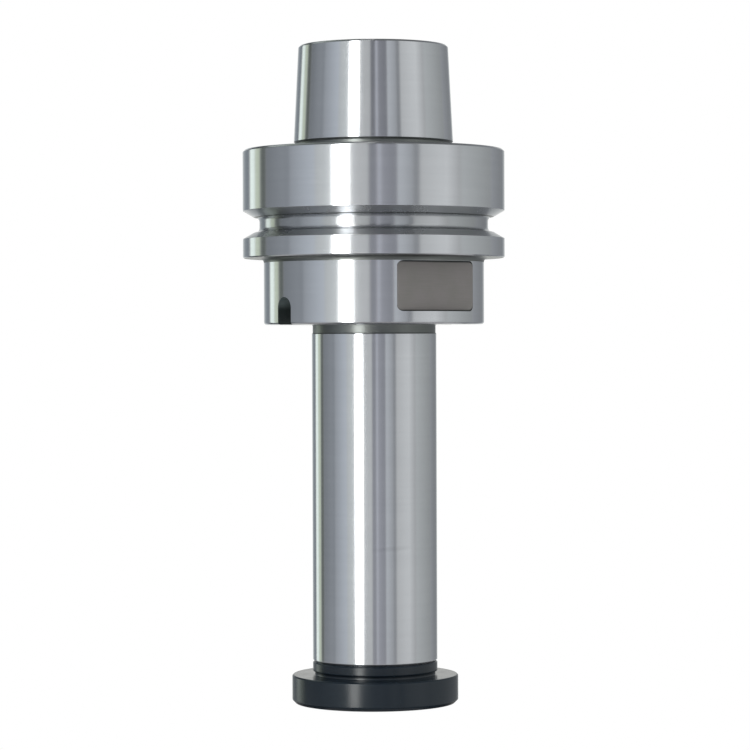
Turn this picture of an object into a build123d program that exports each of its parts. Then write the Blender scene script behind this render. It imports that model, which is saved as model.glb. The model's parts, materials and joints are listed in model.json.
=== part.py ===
from build123d import *
from math import radians, sin, sqrt, tan
import os

os.makedirs("parts", exist_ok=True)

# A cutter arbor, in millimetres. Height 0 is the flange face that meets the spindle.
# +Z runs up into the spindle, and the cutters sit on the shaft below the flange.

# Taper shank, gauged above the flange face
gauge_diameter = 38.009
gauge_height = 5.0
taper_rate = 9.98  # length over which the diameter changes by 1
shank_length = 25.0
shank_lead_height = 0.7
shank_lead_depth = 0.4
foot_undercut_width = 1.5
foot_undercut_depth = 0.5
foot_undercut_reach = 1.1
foot_undercut_sink = 0.3

# Hollow inside the shank, where the spindle's gripper pulls on a cone
mouth_diameter = 26.0
mouth_lead = 0.8
cone_gauge_diameter = 29.0
cone_gauge_height = 14.13
cone_angle = 30.0  # from a plane square to the axis
recess_diameter = 32.0
recess_floor_height = 3.0
pocket_diameter = 18.0
pocket_floor_height = -7.5
pocket_cone_angle = 45.0

# Flange, with a V groove that is gauged over balls
flange_diameter = 63.0
flange_width = 26.0
flange_top_edge = 0.5
flange_foot_edge = 0.25
groove_drop = 18.0
groove_angle = 60.0
groove_ball_diameter = 7.0
groove_ball_overhang = 9.3  # gauge size over two balls, less the flange's diameter
groove_slot_width = 3.75
groove_depth = 4.0
groove_corner = 0.7

# Body between the flange and the shoulder that the cutters seat against
body_diameter = 53.0
body_length = 16.0
body_round = 1.1
body_edge = 0.4

# Two spanner flats, and two drive notches a quarter turn from them
flat_depth = 2.5
flat_below_flange = 1.15
flat_above_shoulder = 3.0
flat_corner = 1.5
flat_overrun = 0.06
notch_width = 5.0
notch_height = 6.5
notch_depth = 5.0

# Shaft, relieved next to the shoulder
shaft_diameter = 30.0
shaft_length = 81.0
shaft_relief_width = 2.0
shaft_relief_depth = 0.2
shaft_edge = 0.5

# Cap: a hub of the shaft's size, an undercut and a disc
hub_land = 2.3
hub_edge = 0.3
undercut_width = 0.9
undercut_depth = 0.5
disc_diameter = 40.0
disc_thickness = 6.8
disc_top_edge = 0.3
disc_bottom_edge = 0.8

# Countersunk clamp screw and its tapped hole
thread_diameter = 12.0
thread_clearance = 0.05
thread_spare = 4.0
thread_lead = 0.6
drill_point_angle = 118.0
screw_length = 35.0
screw_tip_edge = 1.0
screw_hole_clearance = 0.5
head_diameter = 24.0
head_rim = 0.4
head_angle = 90.0
head_sunk = 0.25
head_clearance = 0.02
socket_across = 8.0
socket_depth = 5.4

# Two pins that keep the cap from turning on the shaft
pin_diameter = 5.0
pin_length = 12.0
pin_stand = 4.0
pin_edge = 0.4
pin_circle_diameter = 21.0
pin_clearance = 0.05
pin_spare = 0.5

# How far a cutting tool runs past the surface that it opens
past = 1.0

# Radii and heights that follow from the sizes above
flange_radius = flange_diameter / 2
body_radius = body_diameter / 2
shaft_radius = shaft_diameter / 2
thread_radius = thread_diameter / 2
head_radius = head_diameter / 2
shoulder_height = -flange_width - body_length
shaft_end_height = shoulder_height - shaft_length
disc_top_height = shaft_end_height - hub_land - undercut_width
cap_bottom_height = disc_top_height - disc_thickness
head_face_height = cap_bottom_height + head_sunk
screw_tip_height = head_face_height + screw_length
half_groove_angle = radians(groove_angle / 2)
half_head_angle = radians(head_angle / 2)
half_point_angle = radians(drill_point_angle / 2)

# The groove's flanks meet at a radius that follows from the gauge size over balls
groove_ball_radius = groove_ball_diameter / 2
groove_over_balls = flange_diameter + groove_ball_overhang
groove_apex = groove_over_balls / 2 - groove_ball_radius - groove_ball_radius / sin(half_groove_angle)

# The pins stand in line with the notches
pin_places = {"left": -pin_circle_diameter / 2, "right": pin_circle_diameter / 2}


def taper_radius(height):
    """Radius of the taper shank at a height above the flange face."""
    return gauge_diameter / 2 - (height - gauge_height) / taper_rate / 2


def turned(points):
    """A turned solid from its half section, given as (radius, height) points."""
    section = make_face(Plane.XZ * Polyline(*points, close=True))
    return revolve(section, Axis.Z)


def ring_edge(solid, radius, height):
    """The circular edge of a turned solid at a radius and height."""
    near = 0.001
    circles = solid.edges().filter_by(GeomType.CIRCLE)
    at_radius = circles.filter_by(lambda edge: abs(edge.radius - radius) < near)
    return at_radius.filter_by(lambda edge: abs(edge.arc_center.Z - height) < near)


def upright_cylinder(x, radius, bottom, top):
    """A cylinder parallel to the axis, between two heights."""
    return Pos(x, 0, (bottom + top) / 2) * Cylinder(radius, top - bottom)


def shank():
    """The taper shank, with its lead at the tip."""
    lead_foot = shank_length - shank_lead_height
    return turned(
        [
            (0, -past),
            (taper_radius(0), -past),
            (taper_radius(0), 0),
            (taper_radius(lead_foot), lead_foot),
            (taper_radius(shank_length) - shank_lead_depth, shank_length),
            (0, shank_length),
        ]
    )


def foot_undercut():
    """A ring that cuts the undercut at the shank's foot, into the taper and into the flange face."""
    inside = taper_radius(0) - foot_undercut_depth
    outside = taper_radius(0) + foot_undercut_reach
    top = foot_undercut_width + foot_undercut_depth
    return turned(
        [
            (inside, -foot_undercut_sink),
            (outside - foot_undercut_sink, -foot_undercut_sink),
            (outside, 0),
            (outside, top),
            (taper_radius(top), top),
            (inside, foot_undercut_width),
        ]
    )


def groove_half_opening(radius):
    """Half the groove's opening between its flanks at a radius."""
    return (radius - groove_apex) * tan(half_groove_angle)


def groove_cutter():
    """A ring that cuts the V groove and the slot at its foot, whose corners are sloped."""
    outside = flange_radius + past
    slot_half = groove_slot_width / 2
    slot_mouth = groove_apex + slot_half / tan(half_groove_angle)
    floor = flange_radius - groove_depth
    return turned(
        [
            (floor, -groove_drop - slot_half + groove_corner),
            (floor + groove_corner, -groove_drop - slot_half),
            (slot_mouth, -groove_drop - slot_half),
            (outside, -groove_drop - groove_half_opening(outside)),
            (outside, -groove_drop + groove_half_opening(outside)),
            (slot_mouth, -groove_drop + slot_half),
            (floor + groove_corner, -groove_drop + slot_half),
            (floor, -groove_drop + slot_half - groove_corner),
        ]
    )


def flange():
    """The grooved flange, with its outer edges broken."""
    ring = turned([(0, -flange_width), (flange_radius, -flange_width), (flange_radius, 0), (0, 0)])
    ring = chamfer(ring_edge(ring, flange_radius, 0), flange_top_edge)
    ring = chamfer(ring_edge(ring, flange_radius, -flange_width), flange_foot_edge)
    return ring - groove_cutter()


def body_and_shaft():
    """The body under the flange, its shoulder, and the shaft with its relief.

    The round in the corner under the flange is two short cones, which follow it to 0.1 mm.
    """
    relief_radius = shaft_radius - shaft_relief_depth
    relief_foot = shoulder_height - shaft_relief_width
    half_round = body_round * (1 - sqrt(0.5))
    solid = turned(
        [
            (0, -flange_width),
            (body_radius + body_round, -flange_width),
            (body_radius + half_round, -flange_width - half_round),
            (body_radius, -flange_width - body_round),
            (body_radius, shoulder_height),
            (relief_radius, shoulder_height),
            (relief_radius, relief_foot),
            (shaft_radius, relief_foot - shaft_relief_depth),
            (shaft_radius, shaft_end_height),
            (0, shaft_end_height),
        ]
    )
    solid = chamfer(ring_edge(solid, body_radius, shoulder_height), body_edge)
    return chamfer(ring_edge(solid, shaft_radius, shaft_end_height), shaft_edge)


def hollow():
    """The space inside the shank: mouth, clamping cone, recess and pocket, as a cutting tool."""
    mouth = mouth_diameter / 2
    recess = recess_diameter / 2
    pocket = pocket_diameter / 2
    cone_gauge = cone_gauge_diameter / 2
    cone_slope = tan(radians(cone_angle))
    pocket_top = recess_floor_height - (recess - pocket) / tan(radians(pocket_cone_angle))
    return turned(
        [
            (0, pocket_floor_height),
            (pocket, pocket_floor_height),
            (pocket, pocket_top),
            (recess, recess_floor_height),
            (recess, cone_gauge_height + (cone_gauge - recess) * cone_slope),
            (mouth, cone_gauge_height + (cone_gauge - mouth) * cone_slope),
            (mouth, shank_length - mouth_lead),
            (mouth + mouth_lead + past, shank_length + past),
            (0, shank_length + past),
        ]
    )


def spanner_flats():
    """Two pockets milled flat across the body, with the milling cutter's radius in their corners."""
    half_across = body_radius - flat_depth
    chord = 2 * sqrt(body_radius**2 - half_across**2)
    height = body_length - flat_below_flange - flat_above_shoulder
    middle = shoulder_height + flat_above_shoulder + height / 2
    face = Plane(origin=(0, -half_across, middle), x_dir=(1, 0, 0), z_dir=(0, -1, 0))
    outline = RectangleRounded(chord + 2 * flat_overrun, height, flat_corner)
    front = extrude(face * outline, body_radius - half_across + past)
    return [front, mirror(front, about=Plane.XZ)]


def drive_notches():
    """Two round-topped notches in the body's wall, open at the shoulder."""
    radius = notch_width / 2
    arch_centre = notch_height - radius
    floor = Plane(origin=(body_radius - notch_depth, 0, shoulder_height), x_dir=(0, 1, 0), z_dir=(1, 0, 0))
    slot = Pos(0, (arch_centre - past) / 2) * Rectangle(notch_width, arch_centre + past)
    outline = slot + Pos(0, arch_centre) * Circle(radius)
    right = extrude(floor * outline, notch_depth + past)
    return [right, mirror(right, about=Plane.YZ)]


def tapped_hole():
    """The screw's hole in the shaft, bored at the thread's outer diameter, with a drill's point."""
    major = thread_radius + thread_clearance
    top = screw_tip_height + thread_spare
    return turned(
        [
            (0, shaft_end_height - past),
            (major + thread_lead + past, shaft_end_height - past),
            (major, shaft_end_height + thread_lead),
            (major, top),
            (0, top + major / tan(half_point_angle)),
        ]
    )


def pin_holes_in_shaft():
    """Flat-ended holes that the pins are pressed into."""
    top = shaft_end_height - pin_stand + pin_length
    bottom = shaft_end_height - past
    return [upright_cylinder(x, pin_diameter / 2, bottom, top) for x in pin_places.values()]


def arbor_body():
    """The arbor, turned and ground from one bar: shank, flange, body and shaft."""
    solid = shank() + flange() + body_and_shaft()
    solid -= foot_undercut()
    solid -= hollow()
    solid -= spanner_flats()
    solid -= drive_notches()
    solid -= tapped_hole()
    return solid - pin_holes_in_shaft()


def head_cone(radius_to, room):
    """Height at which the head's cone, made wider by some room, has a radius."""
    cone_foot = head_face_height + head_rim
    return cone_foot + (head_radius + room - radius_to) / tan(half_head_angle)


def clamp_cap():
    """The cap: a hub that continues the shaft, an undercut, and a disc with a countersunk hole."""
    disc_radius = disc_diameter / 2
    undercut_radius = shaft_radius - undercut_depth
    hole_radius = thread_radius + screw_hole_clearance
    sink_radius = head_radius + head_clearance + (head_sunk + head_rim) * tan(half_head_angle)
    solid = turned(
        [
            (0, shaft_end_height),
            (shaft_radius, shaft_end_height),
            (shaft_radius, shaft_end_height - hub_land),
            (undercut_radius, shaft_end_height - hub_land),
            (undercut_radius, disc_top_height),
            (disc_radius, disc_top_height),
            (disc_radius, cap_bottom_height),
            (0, cap_bottom_height),
        ]
    )
    solid = chamfer(ring_edge(solid, shaft_radius, shaft_end_height), hub_edge)
    solid = chamfer(ring_edge(solid, disc_radius, disc_top_height), disc_top_edge)
    solid = chamfer(ring_edge(solid, disc_radius, cap_bottom_height), disc_bottom_edge)
    solid -= turned(
        [
            (0, cap_bottom_height - past),
            (sink_radius + past * tan(half_head_angle), cap_bottom_height - past),
            (hole_radius, head_cone(hole_radius, head_clearance)),
            (hole_radius, shaft_end_height + past),
            (0, shaft_end_height + past),
        ]
    )
    return solid - pin_holes_in_cap()


def pin_holes_in_cap():
    """Blind holes in the hub's face that drop over the pins."""
    bottom = shaft_end_height - pin_stand - pin_spare
    radius = pin_diameter / 2 + pin_clearance
    return [upright_cylinder(x, radius, bottom, shaft_end_height + past) for x in pin_places.values()]


def clamp_screw():
    """The countersunk screw, with a hexagon socket in its head and a plain stand-in for the thread."""
    solid = turned(
        [
            (0, head_face_height),
            (head_radius, head_face_height),
            (head_radius, head_face_height + head_rim),
            (thread_radius, head_cone(thread_radius, 0)),
            (thread_radius, screw_tip_height - screw_tip_edge),
            (thread_radius - screw_tip_edge, screw_tip_height),
            (0, screw_tip_height),
        ]
    )
    hexagon = RegularPolygon(socket_across / 2, 6, major_radius=False)
    solid -= extrude(Pos(0, 0, head_face_height) * hexagon, socket_depth)
    socket_floor = head_face_height + socket_depth
    socket_radius = socket_across / 2
    point = socket_floor + socket_radius / tan(half_point_angle)
    return solid - turned([(0, socket_floor), (socket_radius, socket_floor), (0, point)])


def cap_pin(x):
    """One cylindrical pin, pressed into the shaft, with a chamfer on the end that enters the cap."""
    bottom = shaft_end_height - pin_stand
    pin = upright_cylinder(x, pin_diameter / 2, bottom, bottom + pin_length)
    return chamfer(pin.edges().filter_by(GeomType.CIRCLE).sort_by(Axis.Z)[0], pin_edge)


pieces = {
    "arbor_body": arbor_body(),
    "clamp_cap": clamp_cap(),
    "clamp_screw": clamp_screw(),
}
for side, place in pin_places.items():
    pieces[f"cap_pin_{side}"] = cap_pin(place)

for name, piece in pieces.items():
    export_step(piece, f"parts/{name}.step")
    print(f"{name}: {piece.volume:.0f} mm3")
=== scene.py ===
# %% [markdown]
# # A shell mill arbor, dressed for the camera
#
# The arbor is the steel holder that carries bored cutters and saw blades in a milling spindle.
# The CAD frame gives exact but plain solids. This lesson puts turned surfaces and real finishes
# round them: ground steel, grooves, milled flats, a blackened cap and a threaded screw.
# Sizes are in metres, in the frame's own coordinates, so a piece goes where the frame says.

import bpy
import json
import numpy as np
from mathutils import Matrix, Vector


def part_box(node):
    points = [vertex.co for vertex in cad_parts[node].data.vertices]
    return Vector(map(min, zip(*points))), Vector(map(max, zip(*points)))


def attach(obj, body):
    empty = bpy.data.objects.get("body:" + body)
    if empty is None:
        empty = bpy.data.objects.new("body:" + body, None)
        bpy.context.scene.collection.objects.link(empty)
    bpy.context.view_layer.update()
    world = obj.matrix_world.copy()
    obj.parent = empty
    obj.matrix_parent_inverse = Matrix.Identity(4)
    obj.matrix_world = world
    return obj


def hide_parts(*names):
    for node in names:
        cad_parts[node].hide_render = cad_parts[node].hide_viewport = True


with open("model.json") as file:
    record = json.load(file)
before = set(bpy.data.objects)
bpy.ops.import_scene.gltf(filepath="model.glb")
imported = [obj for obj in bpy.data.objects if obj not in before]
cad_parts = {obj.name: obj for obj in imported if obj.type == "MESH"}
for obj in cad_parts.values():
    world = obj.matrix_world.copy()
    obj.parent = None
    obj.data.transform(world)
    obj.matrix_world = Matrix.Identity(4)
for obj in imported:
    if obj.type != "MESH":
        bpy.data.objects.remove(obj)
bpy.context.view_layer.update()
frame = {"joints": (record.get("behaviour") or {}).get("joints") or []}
mm = 0.001


def in_mm(*sizes):
    """Sizes in millimetres, rounded to be printed."""
    return [round(float(size / mm), 2) for size in sizes]


# %% [markdown]
# ## Sizes
#
# A turned part is drawn by its half section, so it needs radii and heights. They could be read off
# the mesh, but a maker's drawing names them, and names are easier to follow. The outer ones come
# from the frame's boxes. The rest are the standard sizes of such a shank and what the photo shows.

# %% Sizes from the frame
arbor_low, arbor_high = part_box("arbor_body")
cap_low, cap_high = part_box("clamp_cap")
screw_low, screw_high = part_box("clamp_screw")
pin_low, pin_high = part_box("cap_pin_right")

shank_tip = arbor_high.z
shaft_end = arbor_low.z
flange_radius = arbor_high.x
disc_radius = cap_high.x
cap_bottom = cap_low.z
head_face = screw_low.z
screw_tip = screw_high.z
head_radius = screw_high.x
pin_radius = (pin_high.x - pin_low.x) / 2
pin_offset = (pin_high.x + pin_low.x) / 2
print("shank tip, shaft end, cap bottom in mm:", in_mm(shank_tip, shaft_end, cap_bottom))

# %% Sizes of the arbor
gauge_radius = 38.009 / 2 * mm
gauge_height = 5 * mm
taper_slope = 0.5 / 9.98
tip_lead_height = 0.45 * mm
tip_lead_depth = 0.4 * mm
undercut_depth = 0.5 * mm
undercut_reach = 1.1 * mm
undercut_width = 1.5 * mm
undercut_sink = 0.3 * mm

mouth_radius = 13 * mm
mouth_lead = 0.8 * mm
cone_gauge_radius = 14.5 * mm
cone_gauge_height = 14.13 * mm
cone_slope = np.tan(np.radians(30))
recess_radius = 16 * mm
recess_floor = 3 * mm
pocket_radius = 9 * mm
pocket_floor = -7.5 * mm

flange_bottom = -26 * mm
flange_top_edge = 0.5 * mm
flange_foot_edge = 0.25 * mm
groove_middle = -18 * mm
groove_apex = 25.65 * mm
flank_slope = np.tan(np.radians(30))
slot_half_width = 1.875 * mm
slot_radius = 27.5 * mm
slot_round = 1.2 * mm
slot_shade_reach = 0.35 * mm

body_radius = 26.5 * mm
body_round = 1.1 * mm
body_edge = 0.4 * mm
shoulder = -42 * mm
shaft_radius = 15 * mm
relief_width = 2 * mm
relief_depth = 0.2 * mm
shaft_edge = 0.5 * mm


def taper_radius(height):
    """Radius of the taper shank at a height above the flange face."""
    return gauge_radius - (height - gauge_height) * taper_slope


print("shank radius at foot and tip in mm:", in_mm(taper_radius(0), taper_radius(shank_tip)))

# %% Sizes of the flats, notches and thread
flat_depth = 2.5 * mm
flat_top = flange_bottom - 1.15 * mm
flat_bottom = shoulder + 3 * mm
flat_corner = 1.5 * mm
flat_overrun = 0.06 * mm
notch_half_width = 2.5 * mm
notch_edge = 0.12 * mm
notch_height = 6.5 * mm
notch_depth = 5 * mm

thread_pitch = 1.75 * mm
thread_major = 6 * mm
thread_minor = 5.05 * mm
thread_clearance = 0.05 * mm
thread_spare = 4 * mm
thread_lead = 0.6 * mm
drill_slope = 1 / np.tan(np.radians(59))
print("flat's top and bottom in mm:", in_mm(flat_top, flat_bottom))

# %% [markdown]
# ## A half section with eased corners
#
# No real turned edge is knife sharp: it has a small round or chamfer that catches a line of light.
# A Bevel modifier could round the edges of a finished mesh, but here the section itself is eased
# before it is turned, so the edges stay exact and cost few faces. Guard points beside each arc keep
# the shading of the long plain sides from being pulled towards the corners.


# %% Ease the corners of a section
hair = 0.06 * mm
largest_share = 0.45
tiny = 1e-9


def eased(lines, ring=False, steps=3, guard=0.25 * mm):
    """A section's points, with the finish of the band after each point and a mark on its eased edges.

    lines holds the radius, height, ease and finish of each corner, and its ease is counted in hairs.
    A corner becomes an arc that touches both its sides: its centre lies on the corner's bisector, at
    the arc's radius over the sine of half the corner's angle. An arc takes at most largest_share of its
    shorter side. A corner with no ease stays a point. A ring's last corner joins its first.
    """
    radius, height, hairs, finishes = (np.array(column) for column in zip(*lines))
    corners, ease = np.stack([radius, height], -1), hair * hairs
    back, ahead = np.roll(corners, 1, 0) - corners, np.roll(corners, -1, 0) - corners
    back_length, ahead_length = np.linalg.norm(back, axis=1), np.linalg.norm(ahead, axis=1)
    back, ahead = back / back_length[:, None], ahead / ahead_length[:, None]
    half = np.arccos(np.clip((back * ahead).sum(1), -1, 1)) / 2
    cut = np.minimum(ease / np.tan(half), largest_share * np.minimum(back_length, ahead_length))
    bisector = back + ahead
    bisector /= np.maximum(np.linalg.norm(bisector, axis=1), tiny)[:, None]
    centre = corners + bisector * (cut / np.cos(half))[:, None]
    start, end = corners + back * cut[:, None], corners + ahead * cut[:, None]
    sweep = np.maximum(np.pi - 2 * half, 1e-6)[:, None, None]
    t = np.linspace(0, 1, steps)[None, :, None]
    from_start = (start - centre)[:, None] * np.sin((1 - t) * sweep)
    from_end = (end - centre)[:, None] * np.sin(t * sweep)
    arcs = centre[:, None] + (from_start + from_end) / np.sin(sweep)
    gap = np.roll(start, -1, 0) - end
    length = np.linalg.norm(gap, axis=1)[:, None]
    step = gap / np.maximum(length, tiny) * np.where(length > 4 * guard, guard, 0)
    guards = np.stack([end + step, np.roll(start, -1, 0) - step], axis=1)
    points = np.concatenate([arcs, guards], axis=1).reshape(-1, 2)
    on_edge = np.outer(ease > 0, [1.0] * steps + [0.0] * 2).reshape(-1)
    band = np.repeat(finishes, steps + 2)
    keep = np.linalg.norm(points - np.roll(points, 1, 0), axis=1) > 1e-7
    if not ring:
        keep[0], keep[-2:] = True, False
    return points[keep], band[keep], on_edge[keep]


print("corner helper ready")

# %% [markdown]
# ## Turning a section into a mesh
#
# Everything on this object is turned, so one helper carries a half section round the axis. Blender's
# Spin or Screw could do that too. Worked out as an array, the same helper can also press a thread
# into the surface, and it closes the ends on the axis with single points, so the skin has no hole.


# %% New objects
def placed(name, data):
    """A new object of the scene, with its mesh, camera or lamp."""
    item = bpy.data.objects.new(name, data)
    bpy.context.scene.collection.objects.link(item)
    return item


def new_piece(name, points, faces, finishes, slots=0):
    """A new object with a mesh of its own. slots says which finish each face takes."""
    mesh = bpy.data.meshes.new(name)
    mesh.from_pydata(points.tolist(), [], faces)
    for finish in finishes:
        mesh.materials.append(finish)
    mesh.polygons.foreach_set("material_index", np.zeros(len(faces), np.int32) + np.int32(slots))
    return placed(name, mesh)


def in_space(x, y, z):
    """Points from their coordinates, of which some may be single numbers."""
    return np.stack(np.broadcast_arrays(x, y, z), -1)


def circle(radius, steps, start=0):
    """Two coordinates of points on a circle: r cos a and r sin a."""
    angle = start + np.linspace(0, 2 * np.pi, steps, endpoint=False)
    return radius * np.cos(angle), radius * np.sin(angle)


# %% Turn a section
def turned(name, section, finishes, ring=False, columns=256, press=None, centre_x=0):
    """A closed mesh: point (r, z) of the section at angle a goes to (r cos a, r sin a, z).

    The section runs upwards on the outside, so faces point outwards. It starts and ends on the axis,
    where single points close it, or it is a ring. press(r, z, a) may give each point a new radius.
    """
    points, band, on_edge = section
    angle = np.linspace(0, 2 * np.pi, columns, endpoint=False)[None]
    radius, height = (np.repeat(c[:, None], columns, 1) for c in points.T)
    if press:
        radius = press(radius, height, angle + 0 * radius)
    rows = in_space(centre_x + radius * np.cos(angle), radius * np.sin(angle), height)
    if not ring:
        rows = rows[1:-1]
        on_edge = on_edge[1:-1]
    count = len(rows)
    index = np.arange(count * columns).reshape(count, columns)
    turn = np.roll(index, -1, 1)
    quads = np.stack([index, turn, np.roll(turn, -1, 0), np.roll(index, -1, 0)], -1)
    vertices, edge_mark = rows.reshape(-1, 3), np.repeat(on_edge, columns)
    if ring:
        faces, slot = quads.reshape(-1, 4).tolist(), np.repeat(band, columns)
    else:
        low_pole, high_pole = count * columns, count * columns + 1
        fan_low = np.stack([np.full(columns, low_pole), turn[0], index[0]], -1)
        fan_high = np.stack([np.full(columns, high_pole), index[-1], turn[-1]], -1)
        faces = quads[:-1].reshape(-1, 4).tolist() + fan_low.tolist() + fan_high.tolist()
        slot = np.repeat(np.append(band[1:-2], band[[0, -2]]), columns)
        poles = in_space(centre_x, 0, points[[0, -1], 1])
        vertices = np.concatenate([vertices, poles])
        edge_mark = np.append(edge_mark, [0, 0])
    piece = new_piece(name, vertices, faces, finishes, slot)
    edge = piece.data.attributes.new("edge", "FLOAT", "POINT")
    edge.data.foreach_set("value", edge_mark.astype(np.float32))
    piece.data.polygons.foreach_set("use_smooth", np.ones(len(faces), bool))
    return piece


print("turning helper ready")

# %% [markdown]
# ## Shading of turned surfaces
#
# A mirror-bright cylinder shows every small error of its normals as a wavy reflection. Smooth shading
# averages flat facets, which goes wrong beside a milled cut. On a turned surface the true normal
# always points straight away from the axis, seen from above, so it can be set exactly.


# %% Exact normals
def read(items, name, width=1, kind=np.int32):
    """One value, or several, of every item of a mesh, as an array."""
    values = np.empty(len(items) * width, kind)
    items.foreach_get(name, values)
    return values.reshape(-1, width).squeeze()


def true_normals(piece, milled, sharp_angle=40):
    """Turns each corner's normal straight away from the axis, and keeps its tilt up or down.

    The faces with a milled finish stay flat, and so do their normals.
    """
    mesh = piece.data
    is_milled = np.isin(read(mesh.polygons, "material_index"), milled)
    mesh.polygons.foreach_set("use_smooth", ~is_milled)
    mesh.set_sharp_from_angle(angle=np.radians(sharp_angle))
    mesh.update()
    normal = read(mesh.corner_normals, "vector", 3, float)
    away = read(mesh.vertices, "co", 3, float)[read(mesh.loops, "vertex_index")][:, :2]
    distance = np.linalg.norm(away, axis=1)
    away = away / np.maximum(distance, tiny)[:, None]
    sign = np.sign((normal[:, :2] * away).sum(1))
    level = np.linalg.norm(normal[:, :2], axis=1) * sign
    exact = np.concatenate([away * level[:, None], normal[:, 2:]], axis=1)
    kept = np.repeat(is_milled, read(mesh.polygons, "loop_total")) | (distance < 1e-6)
    exact[kept] = normal[kept]
    mesh.normals_split_custom_set(exact.tolist())


print("normals helper ready")

# %% [markdown]
# ## Shared effects
#
# Two effects are used by several finishes, so each is a node group with its own inputs. Tool lines are
# the fine rings that turning and grinding leave round the axis: a noise read along the radius and the
# height, and hardly at all round the axis. Clouds are the faint smears of oil and handling.


# %% Node helpers
def add_node(tree, kind, inputs=None, **settings):
    """One shader node, with its settings and the values of its inputs."""
    node = tree.nodes.new(kind)
    for key, value in settings.items():
        setattr(node, key, value)
    for key, value in (inputs or {}).items():
        if isinstance(value, bpy.types.NodeSocket):
            tree.links.new(value, node.inputs[key])
        else:
            node.inputs[key].default_value = value
    return node


def calc(tree, operation, *values, clamp=False):
    """The output of one Math node."""
    inputs = dict(enumerate(values))
    return add_node(tree, "ShaderNodeMath", inputs, operation=operation, use_clamp=clamp).outputs[0]


def hypotenuse(tree, a, b):
    """The square root of a squared plus b squared."""
    squares = calc(tree, "POWER", a, 2.0), calc(tree, "POWER", b, 2.0)
    return calc(tree, "SQRT", calc(tree, "ADD", *squares))


def remap(tree, value, low, high, start=0.0, end=1.0, curve="LINEAR"):
    """Maps the stretch from start to end onto low to high, and holds the value beyond it."""
    inputs = {"Value": value, "From Min": start, "From Max": end, "To Min": low, "To Max": high}
    return add_node(tree, "ShaderNodeMapRange", inputs, interpolation_type=curve).outputs["Result"]


def object_place(tree):
    """A point's Object coordinates."""
    return add_node(tree, "ShaderNodeTexCoord").outputs["Object"]


def object_axes(tree):
    """A point's Object coordinates, one by one."""
    return add_node(tree, "ShaderNodeSeparateXYZ", {0: object_place(tree)}).outputs


def scaled(tree, place, factors):
    """A place, with a factor of its own for each axis."""
    return add_node(tree, "ShaderNodeVectorMath", {0: place, 1: factors}, operation="MULTIPLY").outputs[0]


def noise(tree, place, scale, detail, roughness=0.5):
    """The value of a noise texture."""
    inputs = {"Vector": place, "Scale": scale, "Detail": detail, "Roughness": roughness}
    return add_node(tree, "ShaderNodeTexNoise", inputs).outputs["Fac"]


print("node helpers ready")

# %% Group helpers
def new_group(name, inputs, outputs):
    """An empty node group with named float sockets, and its two end nodes."""
    group = bpy.data.node_groups.new(name, "ShaderNodeTree")
    for socket, value in inputs.items():
        made = group.interface.new_socket(socket, in_out="INPUT", socket_type="NodeSocketFloat")
        made.default_value = value
    for socket in outputs:
        group.interface.new_socket(socket, in_out="OUTPUT", socket_type="NodeSocketFloat")
    return group, group.nodes.new("NodeGroupInput"), group.nodes.new("NodeGroupOutput")


def group_node(tree, group, **inputs):
    """The outputs of a shared effect with its own values. In an input's name _ stands for a space."""
    node = tree.nodes.new("ShaderNodeGroup")
    node.node_tree = group
    for key, value in inputs.items():
        node.inputs[key.replace("_", " ")].default_value = value
    return node.outputs


print("group helpers ready")

# %% Tool lines
lines_group, given, result = new_group("tool lines", {"Lines per mm": 8.0, "Drift": 40.0}, ["Lines", "Bands"])
tree = lines_group
axes = object_axes(tree)
reach = hypotenuse(tree, axes[0], axes[1])
per_metre = calc(tree, "MULTIPLY", given.outputs["Lines per mm"], 1 / mm)
across = calc(tree, "MULTIPLY", calc(tree, "ADD", reach, axes[2]), per_metre)
drift_x, drift_y = (calc(tree, "MULTIPLY", axis, given.outputs["Drift"]) for axis in axes[:2])
read_at = add_node(tree, "ShaderNodeCombineXYZ", {0: across, 1: drift_x, 2: drift_y}).outputs[0]
band_density = 0.12
wide_at = scaled(tree, read_at, (band_density, 1.0, 1.0))
tree.links.new(noise(tree, read_at, 1.0, 3.0, 0.6), result.inputs["Lines"])
tree.links.new(noise(tree, wide_at, 1.0, 2.0), result.inputs["Bands"])
print("tool lines:", len(tree.nodes), "nodes")

# %% Clouds
clouds_group, given, result = new_group("clouds", {"Size mm": 12.0, "Contrast": 1.0}, ["Cloud", "Speck"])
tree = clouds_group
place = object_place(tree)
scale = calc(tree, "DIVIDE", 1 / mm, given.outputs["Size mm"])
centred = calc(tree, "SUBTRACT", noise(tree, place, scale, 5.0, 0.55), 0.5)
spread = calc(tree, "MULTIPLY", centred, given.outputs["Contrast"])
tree.links.new(calc(tree, "ADD", spread, 0.5, clamp=True), result.inputs["Cloud"])
specks_per_metre = 2600.0
tree.links.new(noise(tree, place, specks_per_metre, 2.0), result.inputs["Speck"])
print("clouds:", len(tree.nodes), "nodes")

# %% [markdown]
# ## Steel finishes
#
# All bare steel here is one alloy, so its finishes share a maker. Ground steel is nearly a mirror round
# the axis and blurred along it, because grinding leaves fine rings. Bump alone could draw each ring, but
# it would need far finer ones to blur a highlight. The Principled shader's anisotropy does that, with
# its direction taken from a radial tangent. Turned steel is rougher, with coarser rings.


# %% Make a steel
def new_finish(name):
    """A material, its tree and its shader."""
    finish = bpy.data.materials.new(name)
    finish.use_nodes = True
    tree = finish.node_tree
    return finish, tree, tree.nodes["Principled BSDF"]


def mix_colours(tree, factor, first, second):
    """The first colour where the factor is 0 and the second where it is 1."""
    first, second = (c if isinstance(c, bpy.types.NodeSocket) else (*c, 1) for c in (first, second))
    inputs = {"Factor": factor, 6: first, 7: second}
    return add_node(tree, "ShaderNodeMix", inputs, data_type="RGBA").outputs[2]


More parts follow.
